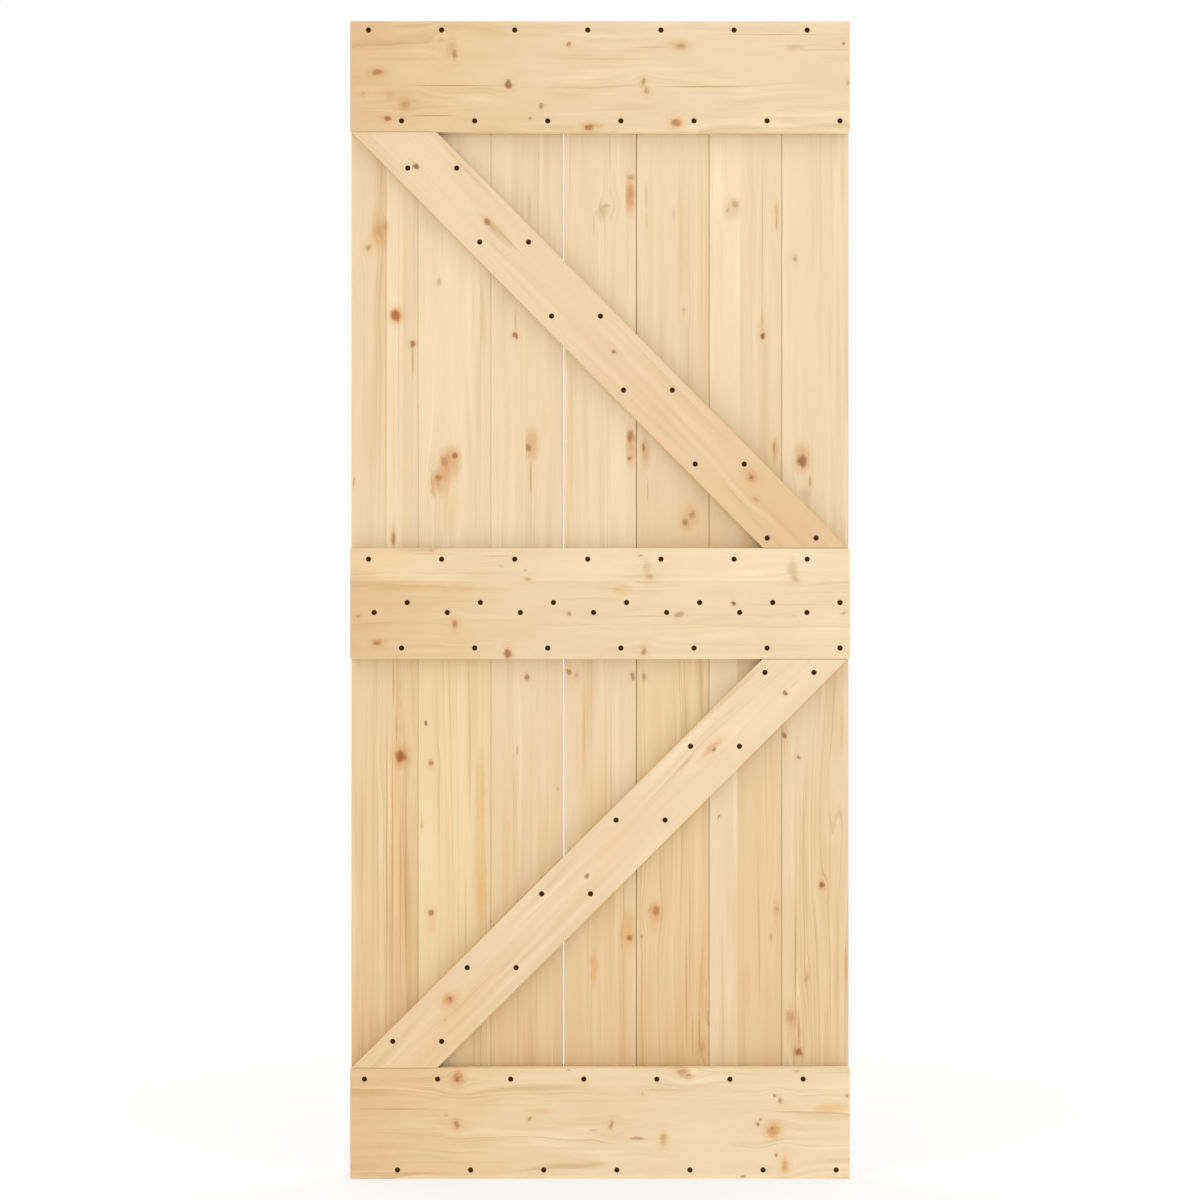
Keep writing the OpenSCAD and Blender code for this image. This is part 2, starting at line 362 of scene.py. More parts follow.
def makePineGroup(look):
    tree, given, result = newGroup(
        "pineGrain",
        [("Place", "Vector"), ("Log", "Vector"), ("Stretch", "Vector"), ("Strip", "Float"), ("Push", "Float"),
         ("Heart", "Float"), ("Halo", "Float"), ("Near", "Float"), ("Tint", "Color"), ("Tone", "Float"),
         ("Pith", "Float"), ("Pith depth", "Float"), ("Ring", "Float"), ("Taper", "Float"), ("Wave", "Float"),
         ("Lines", "Float"), ("Streaks", "Float"), ("End", "Float")],
        [("Colour", "Color"), ("Roughness", "Float"), ("Height", "Float")])
    along, depth, across = split(tree, given["Place"])
    timber = vectors(tree, "ADD", given["Place"], given["Log"])
    timber = vectors(tree, "ADD", timber, scaled(tree, look["stripStep"], given["Strip"]))
    timber = vectors(tree, "MULTIPLY", timber, given["Stretch"])

    def field(start, size, detail):
        return sums(tree, "SUBTRACT", noise(tree, vectors(tree, "MULTIPLY", start, size), detail)[0],
                    noiseMiddle)

    # grain that wanders along the board and parts around the knots
    wander = sums(tree, "MULTIPLY", field(timber, look["wanderSize"], look["slowDetail"]), given["Wave"])
    bend = sums(tree, "ADD", given["Push"], wander)
    flowing = vectors(tree, "ADD", timber, join(tree, 0.0, 0.0, bend))
    streak = field(flowing, look["streakSize"], look["streakDetail"])
    bunch = noise(tree, vectors(tree, "MULTIPLY", flowing, look["bunchSize"]), look["slowDetail"])[0]
    bunch = soft(tree, bunch, *look["bunchRange"], *look["bunchDepth"])
    streak = sums(tree, "MULTIPLY", sums(tree, "MULTIPLY", streak, bunch), given["Streaks"])
    drift = field(timber, look["driftSize"], look["fineDetail"])
    drift = sums(tree, "MULTIPLY", drift, look["driftDepth"])
    fibre = field(timber, look["fibreSize"], look["fineDetail"])

    # growth rings about the pith, drawn aside with the grain
    wobble = field(timber, look["wobbleSize"], look["fineDetail"])
    wobble = sums(tree, "MULTIPLY", wobble, look["wobbleDepth"])
    bent = sums(tree, "ADD", sums(tree, "ADD", across, bend), wobble)
    fromPith = join(tree, sums(tree, "SUBTRACT", bent, given["Pith"]),
                    sums(tree, "SUBTRACT", depth, given["Pith depth"]))
    radius = vectors(tree, "LENGTH", fromPith)
    age = sums(tree, "DIVIDE", sums(tree, "MULTIPLY_ADD", along, given["Taper"], radius), given["Ring"])
    weather = addNode(tree, "ShaderNodeTexNoise")
    weather.noise_dimensions = "1D"
    feed(tree, sums(tree, "MULTIPLY", age, look["yearGroups"]), weather.inputs["W"])
    weather.inputs["Scale"].default_value = 1.0
    weather.inputs["Detail"].default_value = look["slowDetail"]
    age = sums(tree, "MULTIPLY_ADD", weather.outputs[0], look["yearShift"], age)
    year = addNode(tree, "ShaderNodeTexWhiteNoise")
    year.noise_dimensions = "1D"
    feed(tree, sums(tree, "FLOOR", age), year.inputs["W"])
    late = ramp(tree, sums(tree, "FRACT", age), look["ringStops"])
    strength = sums(tree, "POWER", year.outputs["Value"], look["yearFade"])
    strength = sums(tree, "MULTIPLY", strength, sums(tree, "MULTIPLY", given["Lines"], look["lineDepth"]))
    strength = sums(tree, "MULTIPLY", strength, bunch)
    strength = sums(tree, "MULTIPLY_ADD", given["Halo"], look["nearKnots"], strength)
    line = sums(tree, "MINIMUM", sums(tree, "MULTIPLY", late, strength), 1.0)

    # the colours, from plain wood to the heart of a knot
    colour = blendColour(tree, "MIX", sums(tree, "ADD", given["Tone"], drift), look["pale"], look["warm"])
    kept = vectors(tree, "SUBTRACT", (1.0, 1.0, 1.0), scaled(tree, look["streakShade"], streak))
    colour = vectors(tree, "MULTIPLY", colour, kept)
    colour = blendColour(tree, "MULTIPLY", line, colour, look["lineTint"])
    colour = blendColour(tree, "MULTIPLY", 1.0, colour, given["Tint"])
    colour = blendColour(tree, "MULTIPLY", given["Halo"], colour, look["haloTint"])
    turn = sums(tree, "FRACT", sums(tree, "MULTIPLY", given["Near"], look["heartRings"]))
    speck = field(timber, look["speckSize"], look["fineDetail"])
    speck = sums(tree, "MULTIPLY", speck, look["speckDepth"])
    heartRing = sums(tree, "ADD", ramp(tree, turn, look["heartStops"]), speck)
    heartColour = blendColour(tree, "MIX", given["Halo"], look["heartBrown"], look["heartRed"])
    ringColour = blendColour(tree, "MIX", given["Halo"], look["heartDark"], look["heartDeep"])
    heartColour = blendColour(tree, "MIX", heartRing, heartColour, ringColour)
    colour = blendColour(tree, "MIX", given["Heart"], colour, heartColour)
    colour = blendColour(tree, "MULTIPLY", given["End"], colour, look["endTint"])
    grainLight = sums(tree, "MULTIPLY_ADD", fibre, look["fibreDepth"], 1.0)
    feed(tree, scaled(tree, colour, grainLight), result["Colour"])

    dull = sums(tree, "MULTIPLY_ADD", fibre, look["roughFibre"], look["roughMiddle"])
    dull = sums(tree, "MULTIPLY_ADD", line, -look["roughLine"], dull)
    feed(tree, soft(tree, dull, *look["roughRange"], *look["rough"]), result["Roughness"])
    ridges = field(timber, look["streakSize"], look["fineDetail"])
    feed(tree, sums(tree, "MULTIPLY_ADD", ridges, look["streakRelief"], fibre), result["Height"])
    return tree


knotGroup = makeKnotGroup(knotLook)
stainAndPaintedLightGroup = makeStainAndPaintedLightGroup(stainAndPaintedLightLook)
pineGroup = makePineGroup(pineLook)
print("pine groups made")

# tints that a stain lays over the wood; pale and orange also lay the painted highlight and painted shade
# along the bottom rail's lower edge
white = (1.0, 1.0, 1.0, 1.0)
amber = (0.93, 0.84, 0.68, 1.0)
orange = (0.95, 0.80, 0.62, 1.0)
pink = (0.97, 0.84, 0.76, 1.0)
brown = (0.72, 0.56, 0.40, 1.0)
rust = (0.86, 0.62, 0.45, 1.0)
grey = (0.84, 0.79, 0.76, 1.0)
olive = (0.80, 0.75, 0.64, 1.0)
rose = (0.88, 0.70, 0.60, 1.0)
pale = (1.05, 1.06, 1.08, 1.0)

pineFinish = {
    "knotWarp": 4.5,            # unevenness of the rim of a knot, mm
    "knotWarpSize": (1 / 15, 1 / 15, 1 / 8),
    "knotWarpDetail": 2.0,
    "thinStain": 12.0,          # a stain narrower than this runs straight with the grain, mm
    "thinWarp": 0.5,
    "noKnot": 9.0,              # as far from a knot as counts
    "oneStrip": 0.5,
    "allStrips": 99.0,
    "warmFade": 2.4,
    "endFacing": (0.5, 0.95),   # how squarely a face cuts the grain where end grain shows
    "logStep": (1733.0, 91.0, 419.0),    # every piece is cut from another log
    "bumpStrength": 0.35,
    "bumpHeight": 0.0005,
    "gloss": 0.35,
}


# kind says how the grain lies: its turn in degrees, how streaky it is and how long its streaks are
def pineMaterial(piece, kind, logNumber):
    finish = pineFinish
    material = bpy.data.materials.new("pine_" + piece["node"])
    material.use_nodes = True
    tree = material.node_tree
    tree.nodes.clear()
    coordinates = addNode(tree, "ShaderNodeTexCoord").outputs
    # millimetres along the grain (X), through the board (Y) and across the grain (Z)
    turn = math.radians(kind["turn"])
    mapping = addNode(tree, "ShaderNodeMapping")
    mapping.inputs["Rotation"].default_value = (0.0, turn, 0.0)
    mapping.inputs["Scale"].default_value = (mmPerMetre, mmPerMetre, mmPerMetre)
    feed(tree, coordinates["Object"], mapping.inputs["Vector"])
    place = mapping.outputs[0]
    low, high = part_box(piece["node"])
    behind = low.y - solidBox[0][1]

    def inGrain(x, z):
        return (x * math.cos(turn) + z * math.sin(turn), 0.0, z * math.cos(turn) - x * math.sin(turn))

    def readPlace(across, down):
        return inGrain(*onFace(across, down, behind))

    def readShape(long, broad):
        return (2 / (long * pixelSize), 0.0, 2 / (broad * pixelSize))

    def ownStrip(only):
        if only:
            return {"Own": float(only[0]), "Reach": finish["oneStrip"]}
        return {"Own": 0.0, "Reach": finish["allStrips"]}

    # glued strips, side by side across the grain
    across = split(tree, place)["Z"]
    strip = 0.0
    tone = piece["tone"]
    middle = inGrain(mmPerMetre * (low.x + high.x) / 2, mmPerMetre * (low.z + high.z) / 2)
    pithShift, pithDepth = piece["pith"]
    pith = middle[acrossGrain] + pithShift
    for edge, toneStep, pithStep in piece["strips"]:
        passed = sums(tree, "GREATER_THAN", across, readPlace(edge, edge)[acrossGrain])
        strip = sums(tree, "ADD", passed, strip)
        tone = sums(tree, "MULTIPLY_ADD", passed, toneStep, tone)
        pith = sums(tree, "MULTIPLY_ADD", passed, float(pithStep), pith)
    # tone that grows warmer and darker towards the left end or the foot
    spot = split(tree, coordinates["Object"])
    ways = (("warmLeft", spot["X"], high.x, low.x), ("warmFoot", spot["Z"], high.z, low.z))
    for name, along, start, end in ways:
        if name in piece:
            share = sums(tree, "DIVIDE", sums(tree, "SUBTRACT", along, start), end - start)
            fade = sums(tree, "POWER", sums(tree, "MAXIMUM", share, 0.0), finish["warmFade"])
            tone = sums(tree, "MULTIPLY_ADD", fade, piece[name], tone)

    # places shaken a little, so that no rim is a plain ellipse
    warp = vectors(tree, "MULTIPLY", place, finish["knotWarpSize"])
    warp = noise(tree, warp, finish["knotWarpDetail"])["Color"]
    shaken = vectors(tree, "SUBTRACT", warp, (noiseMiddle,) * 3)
    uneven = vectors(tree, "MULTIPLY_ADD", shaken, (2 * finish["knotWarp"],) * 3, place)
    straight = vectors(tree, "MULTIPLY_ADD", shaken, (2 * finish["thinWarp"],) * 3, place)

    found = {"Push": 0.0, "Heart": 0.0, "Halo": 0.0, "Near": finish["noKnot"]}
    for x, y, long, broad, dark, glow, *only in piece["knots"]:
        values = {"Place": uneven, "Calm": place, "Strip": strip, "Centre": readPlace(x, y),
                  "Shape": readShape(long, broad), "Dark": dark, "Glow": glow}
        values.update(ownStrip(only))
        values.update(found)
        passedOn = useGroup(tree, knotGroup, values)
        found = {name: passedOn[name] for name in found}

    tint = piece.get("blush", white)
    for x, y, long, broad, colour, strength, *only in piece["stainsAndPaintedLight"]:
        edges = straight if broad * pixelSize < finish["thinStain"] else uneven
        values = {"Place": edges, "Strip": strip, "Tint": tint, "Centre": readPlace(x, y),
                  "Shape": readShape(long, broad), "Colour": colour, "Strength": strength}
        values.update(ownStrip(only))
        tint = useGroup(tree, stainAndPaintedLightGroup, values)["Tint"]

    facing = vectors(tree, "DOT_PRODUCT", coordinates["Normal"], (math.cos(turn), 0.0, math.sin(turn)))
    end = soft(tree, sums(tree, "ABSOLUTE", facing), *finish["endFacing"], 0.0, 1.0)
    log = tuple(step * logNumber for step in finish["logStep"])
    wood = {"Place": place, "Log": log, "Stretch": (1 / kind["grain"], 1.0, 1.0), "Strip": strip,
            "Tint": tint, "Tone": tone, "Pith": pith, "Pith depth": float(pithDepth), "Ring": piece["ring"],
            "Taper": piece["taper"], "Wave": float(piece["wave"]), "Lines": piece["lines"],
            "Streaks": kind["streaks"], "End": end}
    wood.update(found)
    made = useGroup(tree, pineGroup, wood)

    bump = addNode(tree, "ShaderNodeBump")
    bump.inputs["Strength"].default_value = finish["bumpStrength"]
    bump.inputs["Distance"].default_value = finish["bumpHeight"]
    feed(tree, made["Height"], bump.inputs["Height"])
    shader = addNode(tree, "ShaderNodeBsdfPrincipled")
    feed(tree, made["Colour"], shader.inputs["Base Color"])
    feed(tree, made["Roughness"], shader.inputs["Roughness"])
    shader.inputs["Specular IOR Level"].default_value = finish["gloss"]
    feed(tree, bump.outputs[0], shader.inputs["Normal"])
    output = addNode(tree, "ShaderNodeOutputMaterial")
    feed(tree, shader.outputs[0], output.inputs["Surface"])
    return material


def dress(nodeName, material):
    for place in nodes[nodeName].material_slots:
        place.material = material
    print("dressed", nodeName)


cutPieces = []


def dressWood(piece, kind):
    cutPieces.append(piece["node"])
    dress(piece["node"], pineMaterial(piece, kind, piece.get("log", len(cutPieces))))


# In each piece below, places and sizes are in the photograph's pixels:
# strips: where a glued strip starts, how much warmer it is, and how far its pith shifts in mm
# knots: across, down, length, breadth, how dark, how warm, and the strip where only one has it;
# a knot that is neither dark nor warm only bends the grain
# stains and painted light: across, down, length, breadth, tint, strength, and the strip where only one has it

# upright boards, plain, streaky or smooth
boardGrain = {"turn": -90.0, "streaks": 1.0, "grain": 1.0}
strongGrain = {"turn": -90.0, "streaks": 1.25, "grain": 1.0}
calmGrain = {"turn": -90.0, "streaks": 0.75, "grain": 1.0}

# from the left, above the middle rail
upperBoard1 = {
    "node": "upper_board_1",
    "tone": 0.5,
    "lines": 0.6,
    "pith": (-130, 60),
    "ring": 4.0,
    "taper": 0.006,
    "wave": 8,
    "strips": [(386, -0.26, 70), (401.5, 0.22, -60)],
    "knots": [
        (384, 227, 10, 8, 0.16, 0.25), (378, 233, 12, 10, 0.1, 0.25), (367, 248, 10, 8, 0.38, 0.4),
        (395, 316, 13, 11, 0.75, 1.0), (412, 344.5, 9, 7, 0.74, 0.5), (392.5, 538, 20, 4, 0.5, 0.6),
        (353, 482, 13, 3, 0.38, 0.3),
    ],
    "stainsAndPaintedLight": [
        (378, 234, 46, 26, orange, 0.8), (412, 362, 44, 4, olive, 1.0), (396, 316, 24, 18, orange, 0.8),
        (388, 330, 420, 3, pale, 0.7), (398, 330, 400, 2, brown, 0.3), (392, 536, 30, 8, orange, 0.7),
        (404, 330, 420, 2, amber, 0.5), (411, 430, 220, 3, amber, 0.4), (385.2, 330, 440, 1.5, brown, 0.55),
        (393, 440, 200, 2, orange, 0.5),
    ],
}
dressWood(upperBoard1, boardGrain)

upperBoard2 = {
    "node": "upper_board_2",
    "tone": 0.12,
    "warmFoot": 0.3,
    "lines": 0.3,
    "pith": (13, 75),
    "ring": 5.2,
    "taper": 0.004,
    "wave": 8,
    "strips": [(462, 0.06, -80)],
    "knots": [
        (454, 456, 9, 8, 0.68, 0.5, 0), (444, 461, 13, 11, 0.36, 0.55, 0), (438, 478, 8, 10, 0.44, 0.6, 0),
        (432, 487, 16, 5, 0.18, 0.4, 0), (439, 282, 7, 6, 0.2, 0.05),
    ],
    "stainsAndPaintedLight": [
        (451, 463, 48, 30, rose, 1.0, 0), (440, 480, 42, 24, rose, 0.9, 0), (450, 507, 70, 24, amber, 0.6, 0),
        (481, 310, 110, 5, olive, 0.5), (484, 320, 90, 10, amber, 0.4), (474, 200, 150, 3, amber, 0.3),
        (458, 250, 190, 4, pale, 0.5), (438.5, 283, 14, 7, olive, 0.8),
    ],
}
dressWood(upperBoard2, boardGrain)

upperBoard3 = {
    "node": "upper_board_3",
    "tone": 0.31,
    "warmFoot": -0.12,
    "lines": 0.5,
    "pith": (72, 55),
    "ring": 4.6,
    "taper": -0.005,
    "wave": 8,
    "strips": [(515, 0.1, 60), (525.4, 0.06, -90)],
    "knots": [
        (515, 336, 8, 6.5, 0.76, 0.55), (527.5, 448, 10, 7, 0.5, 0.5, 2), (530, 445, 26, 12, 0.06, 0.2, 2),
    ],
    "stainsAndPaintedLight": [
        (515, 322, 32, 2.4, brown, 0.6), (531, 444, 46, 20, rose, 0.75, 2),
        (530.5, 478, 44, 2.6, brown, 0.8, 2), (531, 505, 120, 1.6, brown, 0.35, 2),
        (529, 208, 38, 6, olive, 0.6),
        (521, 330, 380, 4, amber, 0.4, 1), (508, 440, 180, 7, pink, 0.4), (545, 420, 60, 9, pink, 0.4),
    ],
}
dressWood(upperBoard3, boardGrain)

upperBoard4 = {
    "node": "upper_board_4",
    "tone": 0.3,
    "lines": 0.4,
    "pith": (60, 65),
    "ring": 5.0,
    "taper": 0.006,
    "wave": 8,
    "strips": [(610, -0.05, 70), (625.8, 0.1, -80)],
    "knots": [
        (606, 206.5, 6, 15, 0.28, 0.1), (630.5, 193, 26, 10, 0.2, 0.5, 2), (631, 178, 8, 10, 0.32, 0.5, 2),
        (631, 436, 14, 8, 0.5, 0.8, 2), (630, 458, 3, 6, 0.6, 0.4, 2),
    ],
    "stainsAndPaintedLight": [
        (602, 213, 24, 16, olive, 0.8), (594, 226, 28, 3, olive, 0.6), (630, 199, 46, 15, rose, 0.9, 2),
        (631, 451, 50, 15, rose, 1.0, 2), (570, 450, 200, 8, amber, 0.35), (628, 262, 90, 2, brown, 0.35),
        (610, 150, 60, 2, olive, 0.7),
    ],
}
dressWood(upperBoard4, boardGrain)

upperBoard5 = {
    "node": "upper_board_5",
    "tone": 0.28,
    "warmFoot": 0.5,
    "lines": 0.5,
    "pith": (138, 60),
    "ring": 4.4,
    "taper": -0.006,
    "wave": 8,
    "strips": [(697.5, 0.08, 70)],
    "knots": [
        (685, 310, 7, 5, 0.3, 0.15), (693, 515, 10, 8, 0.5, 0.4), (685.5, 522.5, 9, 8, 0.56, 0.5),
        (644, 448.5, 11, 5, 0.6, 0.4),
    ],
    "stainsAndPaintedLight": [
        (646.5, 197, 34, 5, olive, 0.7), (647, 222, 30, 4, amber, 0.9), (674, 214, 20, 6, grey, 0.5),
        (646, 453, 42, 12, rose, 0.8), (648, 489, 30, 2, brown, 0.6), (684, 240, 260, 7, amber, 0.4),
        (702, 250, 250, 4, amber, 0.6), (707, 250, 250, 2.5, brown, 0.3), (690, 517, 40, 24, rose, 0.4),
    ],
}
dressWood(upperBoard5, boardGrain)

upperBoard6 = {
    "node": "upper_board_6",
    "tone": 0.06,
    "warmFoot": 0.86,
    "lines": 0.15,
    "pith": (-83, 70),
    "ring": 4.8,
    "taper": 0.005,
    "wave": 8,
    "strips": [(740.5, 0.11, 40), (762.5, 0.06, 80)],
    "knots": [
        (736, 205, 12, 12, 0.34, 0.25), (728, 211, 8, 7, 0.24, 0.25), (763, 336.5, 8, 5, 0.86, 0.4),
        (777, 212, 7, 4, 0.08, 0.3),
    ],
    "stainsAndPaintedLight": [
        (718, 188, 92, 16, pale, 1.0), (733, 210, 34, 22, olive, 0.5), (763, 319, 30, 2.2, brown, 0.6),
        (777.5, 215, 46, 4.5, amber, 1.0), (777.5, 224, 22, 2.5, brown, 0.6), (763, 240, 190, 2, brown, 0.6),
        (776, 451, 38, 9, rose, 0.8), (775, 448, 16, 3, brown, 0.8), (738, 300, 200, 9, pale, 0.5),
        (768, 330, 320, 3, pale, 0.5), (763, 326, 34, 7, amber, 0.7),
    ],
}
dressWood(upperBoard6, calmGrain)

upperBoard7 = {
    "node": "upper_board_7",
    "tone": 0.21,
    "warmFoot": 0.3,
    "lines": 0.4,
    "pith": (170, 60),
    "ring": 4.4,
    "taper": -0.005,
    "wave": 8,
    "strips": [(824, 0.04, 60)],
    "knots": [(795.8, 259.6, 10, 9, 0.38, 0.2), (803, 461, 15, 12, 0.75, 0.5)],
    "stainsAndPaintedLight": [
        (803, 457, 42, 22, rose, 0.8), (811, 481, 16, 3, brown, 0.9), (806, 494, 18, 13, grey, 0.7),
        (824, 250, 260, 2, pale, 0.7), (844, 180, 60, 6, amber, 0.5), (797, 400, 200, 5, amber, 0.3),
    ],
}
dressWood(upperBoard7, boardGrain)

# from the left, below the middle rail
lowerBoard1 = {
    "node": "lower_board_1",
    "tone": 0.58,
    "warmFoot": 0.75,
    "lines": 0.75,
    "pith": (40, 50),
    "ring": 3.8,
    "taper": 0.006,
    "wave": 9,
    "strips": [(386, 0.0, 70), (401.5, 0.08, -60)],
    "knots": [(400, 756, 13, 12, 0.85, 1.0)],
    "stainsAndPaintedLight": [
        (400, 756, 30, 20, orange, 0.5), (396, 830, 330, 12, orange, 0.6), (391.5, 850, 330, 2, rust, 1.0),
        (399.5, 900, 260, 2, rust, 0.9), (405, 880, 300, 2, rust, 0.7),
        (386, 860, 400, 1.8, brown, 0.8), (388.5, 860, 400, 2.4, pale, 1.0), (409, 950, 240, 12, orange, 0.4),
        (360, 850, 300, 5, amber, 0.35), (372, 860, 360, 3, amber, 0.5), (392.5, 682, 70, 2.2, brown, 0.8),
        (395.5, 728, 44, 2.2, brown, 0.8), (397, 690, 120, 7, orange, 0.6),
    ],
}
dressWood(lowerBoard1, strongGrain)

lowerBoard2 = {
    "node": "lower_board_2",
    "tone": 0.38,
    "blush": (1.0, 0.995, 0.94, 1.0),
    "warmFoot": 0.55,
    "lines": 0.65,
    "pith": (-67, 45),
    "ring": 4.8,
    "taper": -0.008,
    "wave": 12,
    "strips": [(463.5, 0.04, 60)],
    "knots": [
        (425, 723, 6, 5, 0.74, 0.05), (430, 763, 8, 7, 0.54, 0.5), (422, 825, 9, 6, 0.14, 0.1),
        (430.4, 912, 8.5, 6.5, 0.62, 0.65),
    ],
    "stainsAndPaintedLight": [
        (480, 795, 110, 14, amber, 0.8), (480, 868, 150, 20, amber, 0.8), (482, 900, 90, 18, orange, 0.5),
        (480, 860, 150, 3, pale, 0.7), (478, 1035, 76, 15, grey, 0.5),
        (421, 860, 300, 7, pale, 0.5), (465, 930, 160, 3, brown, 0.3), (448, 860, 220, 5, amber, 0.4),
        (431, 925, 30, 12, pink, 0.6), (421, 822, 36, 2.4, olive, 0.7),
    ],
}
dressWood(lowerBoard2, calmGrain)

lowerBoard3 = {
    "node": "lower_board_3",
    "tone": 0.51,
    "warmFoot": 0.74,
    "lines": 0.8,
    "pith": (112, 65),
    "ring": 5.0,
    "taper": 0.005,
    "wave": 8,
    "strips": [(517, 0.02, 70)],
    "knots": [(527, 677, 8, 6.5, 0.62, 0.45), (558, 788, 6, 4, 0.28, 0.1)],
    "stainsAndPaintedLight": [
        (517, 750, 15, 2, brown, 1.0), (505, 850, 260, 9, pink, 0.5), (540, 900, 260, 8, pink, 0.4),
        (517, 950, 200, 1.6, brown, 0.35), (536, 1000, 140, 2, brown, 0.3), (502, 1030, 100, 18, pink, 0.5),
    ],
}
dressWood(lowerBoard3, strongGrain)

lowerBoard4 = {
    "node": "lower_board_4",
    "tone": 0.44,
    "warmFoot": 0.82,
    "lines": 0.65,
    "pith": (90, 55),
    "ring": 4.2,
    "taper": -0.005,
    "wave": 12,
    "strips": [(608, -0.02, 60)],
    "knots": [
        (569, 672, 9, 7, 0.56, 0.35), (576, 675, 10, 6, 0.24, 0.3), (633, 676, 12, 6, 0.6, 0.25),
        (630, 937, 6, 6, 0.6, 0.5),
    ],
    "stainsAndPaintedLight": [
        (584, 735, 130, 5, orange, 0.9), (577, 750, 110, 3, orange, 0.5), (628, 930, 58, 21, orange, 1.0),
        (594, 966, 54, 10.5, orange, 1.0), (606, 760, 220, 3, amber, 0.6), (611, 760, 220, 2.5, brown, 0.4),
        (600, 1010, 100, 4, amber, 0.4), (600, 850, 210, 64, amber, 0.45),
    ],
}
dressWood(lowerBoard4, boardGrain)

lowerBoard5 = {
    "node": "lower_board_5",
    "tone": 0.54,
    "blush": (1.0, 0.99, 0.955, 1.0),
    "warmFoot": 0.76,
    "lines": 1.5,
    "pith": (83, 40),
    "ring": 4.6,
    "taper": 0.008,
    "wave": 16,
    "strips": [(690.5, 0.02, 50)],
    "knots": [
        (644.5, 677, 9, 6, 0.42, 0.35), (656, 910, 13, 9, 0.47, 0.85), (649, 910, 5, 4, 0.34, 0.4),
        (642, 936, 4, 3, 0.4, 0.3), (703, 1046, 16, 8, 0.2, 0.3), (709, 1021, 9, 3, 0.5, 0.3),
        (713, 1008, 24, 12, 0.0, 0.0),
    ],
    "stainsAndPaintedLight": [
        (655, 918, 40, 20, pink, 0.8), (664, 760, 150, 6, pale, 0.6), (684, 760, 170, 6, amber, 0.5),
        (690, 930, 200, 2, brown, 0.5), (701, 690, 80, 8, amber, 0.6), (704, 985, 100, 8, orange, 0.6),
        (687, 990, 150, 2.4, brown, 0.6), (699, 1050, 50, 8, amber, 0.7), (693, 1034, 56, 2.2, brown, 0.6),
        (700, 1030, 44, 2.2, brown, 0.6),
    ],
}
dressWood(lowerBoard5, strongGrain)

lowerBoard6 = {
    "node": "lower_board_6",
    "tone": 0.35,
    "warmFoot": 0.45,
    "lines": 0.5,
    "pith": (-143, 70),
    "ring": 5.0,
    "taper": -0.004,
    "wave": 8,
    "strips": [(738, 0.3, 80)],
    "knots": [(720, 816, 6, 4, 0.55, 0.1), (778, 908, 9, 7, 0.25, 0.3), (772, 937, 9, 4, 0.28, 0.2)],
    "stainsAndPaintedLight": [
        (760, 950, 140, 2.2, brown, 0.6), (759, 900, 160, 2, amber, 0.6), (776, 915, 60, 9, pink, 0.5),
        (748, 985, 60, 12, orange, 0.4), (724, 930, 300, 5, pale, 0.4),
    ],
}
dressWood(lowerBoard6, boardGrain)

lowerBoard7 = {
    "node": "lower_board_7",
    "tone": 0.41,
    "warmFoot": 0.5,
    "lines": 1.1,
    "pith": (220, 50),
    "ring": 4.0,
    "taper": 0.006,
    "wave": 16,
    "strips": [(796.5, 0.04, 60)],
    "knots": [
        (785.6, 735.3, 9, 5.5, 0.72, 0.35), (799, 757, 6, 5, 0.56, 0.2), (823, 884.6, 7.5, 6, 0.8, 0.9),
        (790.5, 1016, 16, 11, 0.26, 0.5), (800, 1051, 10, 8, 0.72, 0.7), (808, 976, 14, 4, 0.22, 0.5),
        (834, 846, 34, 15, 0.0, 0.0), (838, 780, 30, 12, 0.0, 0.0),
    ],
    "stainsAndPaintedLight": [
        (796.5, 955, 150, 2.4, brown, 1.0), (800, 1030, 40, 3, brown, 0.8), (796, 1030, 84, 22, rose, 0.6),
        (847, 964, 56, 5, orange, 1.0), (843, 730, 60, 6, orange, 0.7), (831, 860, 200, 3, amber, 0.5),
        (816, 830, 140, 3, amber, 0.5), (838, 930, 200, 3, amber, 0.4),
    ],
}
dressWood(lowerBoard7, strongGrain)

# rails, with their grain level
railGrain = {"turn": 0.0, "streaks": 1.0, "grain": 0.4}
calmRailGrain = {"turn": 0.0, "streaks": 0.6, "grain": 0.4}

